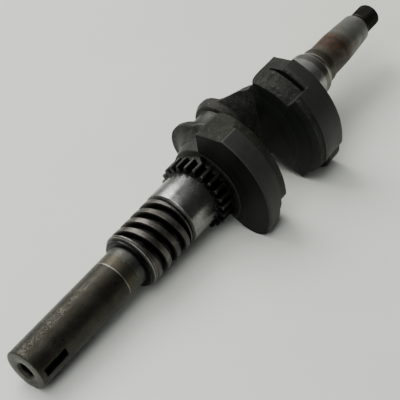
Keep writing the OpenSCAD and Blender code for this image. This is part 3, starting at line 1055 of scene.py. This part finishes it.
def keyed_taper(angles):
    """The flywheel taper with the curved seat of its key: the part of a disc of radius 8 about
    (312, 14) that is 4 mm wide, cut from the side of the crankpin."""
    x0, x1 = span("flywheel_taper")
    wide, thin = 11.5, NECK_R
    disc_x, disc_y, disc_r, half = 312, 14, 8, 2.0
    close = np.concatenate([np.arange(0, 16, 0.5), np.arange(344, 360, 0.5)])
    close = np.sort(np.concatenate([angles[(angles > 16) & (angles < 344)], close]))

    def keyed(x, radius, angle):
        a = np.radians(angle)
        seat = disc_y - np.sqrt(np.maximum(disc_r**2 - (x - disc_x) ** 2, 0))
        cut = (np.abs(radius * np.sin(a)) < half) & (np.cos(a) > 0) & (np.abs(x - disc_x) < disc_r)
        return np.where(cut & (seat < radius) & (radius > 8), seat / np.cos(a), radius)

    line = dense([[x0, wide], [x1 - 0.3, thin + 0.02], [x1, thin]], 0.3)
    line = np.concatenate([[[x0, 5]], line, [[x1, 5]]])
    mesh = skin("flywheel_taper_seat", turned(line, close, keyed))
    piece(mesh, taper_finish, ["flywheel_taper"])


def end_thread(pitch):
    """The end thread: its radius falls linearly from each crest to the root half a pitch away,
    with the crest turning once round for each pitch along the shaft."""
    x0, x1 = span("end_thread")

    def threaded(x, radius, angle):
        share = np.abs(((x - x0) / pitch - angle / 360) % 1 - 0.5) * 2
        depth = 0.92 * np.clip((share - 0.1) / 0.75, 0, 1)
        run_out = smooth(x, x0 + 0.2, x0 + 1.6)
        return np.where(radius > 7.5, radius - depth * run_out, np.minimum(radius, 8))

    stations = np.arange(x0 + 0.05, x1 - 1.0, 0.11)
    line = np.concatenate([
        [[x0, 4], [x0, 7.95]], np.stack([stations, np.full(len(stations), 7.97)], 1),
        [[x1 - 0.9, 7.45], [x1 - 0.2, 6.9], [x1, 6.7], [x1, 2.3], [x1 - 2.9, 0.1]],
    ])
    mesh = skin("end_thread_ridges", turned(line, around(120), threaded))
    piece(mesh, thread_finish, ["end_thread"])


class CRANK_OT_flywheel_end(bpy.types.Operator):
    """Build the plain land, the keyed taper, its neck and the end thread"""

    bl_idname = "crank.flywheel_end"
    bl_label = "Flywheel end"

    def execute(self, context):
        angles = around(context.scene.crank_shape.turns)
        x0, x1 = span("flywheel_land")
        r = reach_of("flywheel_land")
        line = eased(dense([[x0, 6], [x0, r], [x1, r], [x1, 6]], 3), 0.15, 3)
        turned_piece("rusty_land", line, angles, rust_finish, ["flywheel_land"])
        keyed_taper(angles)
        x0, x1 = span("thread_relief")
        r = NECK_R
        line = eased([[x0, 4], [x0, r], [x0 + 0.6, r - 0.3], [x1 - 0.6, 7.4], [x1, 7.3], [x1, 4]], 0.3)
        turned_piece("thread_neck", line, angles, taper_finish, ["thread_relief"])
        end_thread(context.scene.crank_wear.thread_pitch)
        return {"FINISHED"}


# ---------------------------------------------------------------- stage


def table_top(look):
    """A plain sheet in the plane that touches the drive end, the gear and both counterweight tips:
    its height falls linearly along X and Y."""
    side, cells = 0.55, 8
    line = np.linspace(-side, side, cells + 1)
    x, y = np.meshgrid(line + 0.17, line + 0.12, indexing="ij")
    z = -0.01262 - 0.0627 * x - 0.060 * y
    verts = np.stack([x, y, z], -1).reshape(-1, 3)
    row = cells + 1
    i = (np.arange(cells)[:, None] * row + np.arange(cells)[None, :]).ravel()
    mesh = bpy.data.meshes.new("table")
    mesh.from_pydata(verts.tolist(), [], np.stack([i, i + row, i + row + 1, i + 1], 1).tolist())
    mesh.update()
    t = Tree("table_finish")
    tone = tuple(look.floor_tone)
    grain = t.noise(1800, 3)
    colour = t.mix(t.scale(t.noise(9, 3), 0.3, 0.7), tuple(c * 0.96 for c in tone), tone)
    colour = t.darken(0.12, colour, grain, 0.3, 0.7, (0.7, 0.7, 0.7))
    rough = t.scale(grain, 0, 1, 0.55, 0.75)
    mesh.materials.append(t.finish(colour, rough, t.bump(grain, 0.06, 0.4 * MM), 0.0))
    return bpy.data.objects.new("table", mesh)


def soft_lamp(name, place, size, power, tint):
    """A round soft light that points at the middle of the shaft."""
    data = bpy.data.lights.new(name, "AREA")
    data.shape = "DISK"
    data.size = size
    data.energy = power
    data.color = tint
    lamp = bpy.data.objects.new(name, data)
    lamp.location = place
    lamp.rotation_euler = (Vector((0.17, 0.0, 0.0)) - Vector(place)).to_track_quat("-Z", "Y").to_euler()
    return lamp


def room(look):
    """Room light that is bright towards the window and darker away from it."""
    world = bpy.data.worlds.new("studio")
    world.use_nodes = True
    nodes, links = world.node_tree.nodes, world.node_tree.links
    way = nodes.new("ShaderNodeTexCoord").outputs["Generated"]
    dot = nodes.new("ShaderNodeVectorMath")
    dot.operation = "DOT_PRODUCT"
    dot.inputs[1].default_value = Vector(look.window).normalized()
    links.new(way, dot.inputs[0])
    shade = nodes.new("ShaderNodeValToRGB")
    dark, bright = shade.color_ramp.elements
    dark.position, dark.color = 0.0, (0.06, 0.062, 0.06, 1)
    bright.position, bright.color = 0.95, (1.0, 1.02, 1.0, 1)
    links.new(dot.outputs["Value"], shade.inputs[0])
    links.new(shade.outputs[0], nodes["Background"].inputs[0])
    nodes["Background"].inputs[1].default_value = look.room_power
    return world


def viewer(look):
    """The camera, which looks back along right cross up."""
    data = bpy.data.cameras.new("viewer")
    data.lens = look.lens
    data.sensor_width = 36
    camera = bpy.data.objects.new("viewer", data)
    right = Vector((0.58437, -0.80230, -0.12193)).normalized()
    up = Vector((0.61274, 0.33773, 0.71450))
    up = (up - right * up.dot(right)).normalized()
    turn = Matrix((right, up, right.cross(up))).transposed().to_4x4()
    camera.matrix_world = Matrix.Translation(Vector(look.eye)) @ turn
    return camera


class CRANK_OT_stage(bpy.types.Operator):
    """Lay the table, hang the lights and place the camera"""

    bl_idname = "crank.stage"
    bl_label = "Stage"

    def execute(self, context):
        look = context.scene.crank_stage
        key = look.key_power
        camera = viewer(look)
        things = [
            table_top(look),
            soft_lamp("key", (0.35, 0.75, 0.85), 0.9, key, (1.0, 0.99, 0.96)),
            soft_lamp("fill", (-0.85, -0.15, 0.7), 0.8, key * 0.45, (0.95, 0.98, 1.0)),
            soft_lamp("top", (0.0, 0.0, 1.2), 1.0, key * 0.5, (1.0, 1.0, 0.98)),
            camera,
        ]
        for thing in things:
            context.scene.collection.objects.link(thing)
        context.scene.world = room(look)
        context.scene.camera = camera
        return {"FINISHED"}


class CRANK_PT_panel(bpy.types.Panel):
    """Settings and build steps of the crankshaft"""

    bl_idname = "CRANK_PT_panel"
    bl_label = "Crankshaft"
    bl_space_type = "VIEW_3D"
    bl_region_type = "UI"
    bl_category = "Crankshaft"

    def draw(self, context):
        scene = context.scene
        for group in (scene.crank_wear, scene.crank_shape, scene.crank_finish, scene.crank_stage):
            box = self.layout.box()
            for key in group.bl_rna.properties.keys():
                if key not in ("rna_type", "name"):
                    box.prop(group, key)
        for step in STEPS:
            self.layout.operator(step.bl_idname)


STEPS = (
    CRANK_OT_drive_shaft,
    CRANK_OT_worm,
    CRANK_OT_journals,
    CRANK_OT_timing_gear,
    CRANK_OT_webs,
    CRANK_OT_counterweights,
    CRANK_OT_flywheel_end,
    CRANK_OT_stage,
)
GROUPS = {
    "crank_wear": CrankWearSettings,
    "crank_shape": CrankShapeSettings,
    "crank_finish": CrankFinishSettings,
    "crank_stage": CrankStageSettings,
}


def register():
    for name, group in GROUPS.items():
        bpy.utils.register_class(group)
        setattr(bpy.types.Scene, name, PointerProperty(type=group))
    for step in STEPS:
        bpy.utils.register_class(step)
    bpy.utils.register_class(CRANK_PT_panel)


def unregister():
    bpy.utils.unregister_class(CRANK_PT_panel)
    for step in reversed(STEPS):
        bpy.utils.unregister_class(step)
    for name, group in reversed(GROUPS.items()):
        delattr(bpy.types.Scene, name)
        bpy.utils.unregister_class(group)


def main():
    register()
    bpy.ops.crank.drive_shaft()
    bpy.ops.crank.worm()
    bpy.ops.crank.journals()
    bpy.ops.crank.timing_gear()
    bpy.ops.crank.webs()
    bpy.ops.crank.counterweights()
    bpy.ops.crank.flywheel_end()
    bpy.ops.crank.stage()
    bpy.context.view_layer.update()


if __name__ == "__main__":
    main()
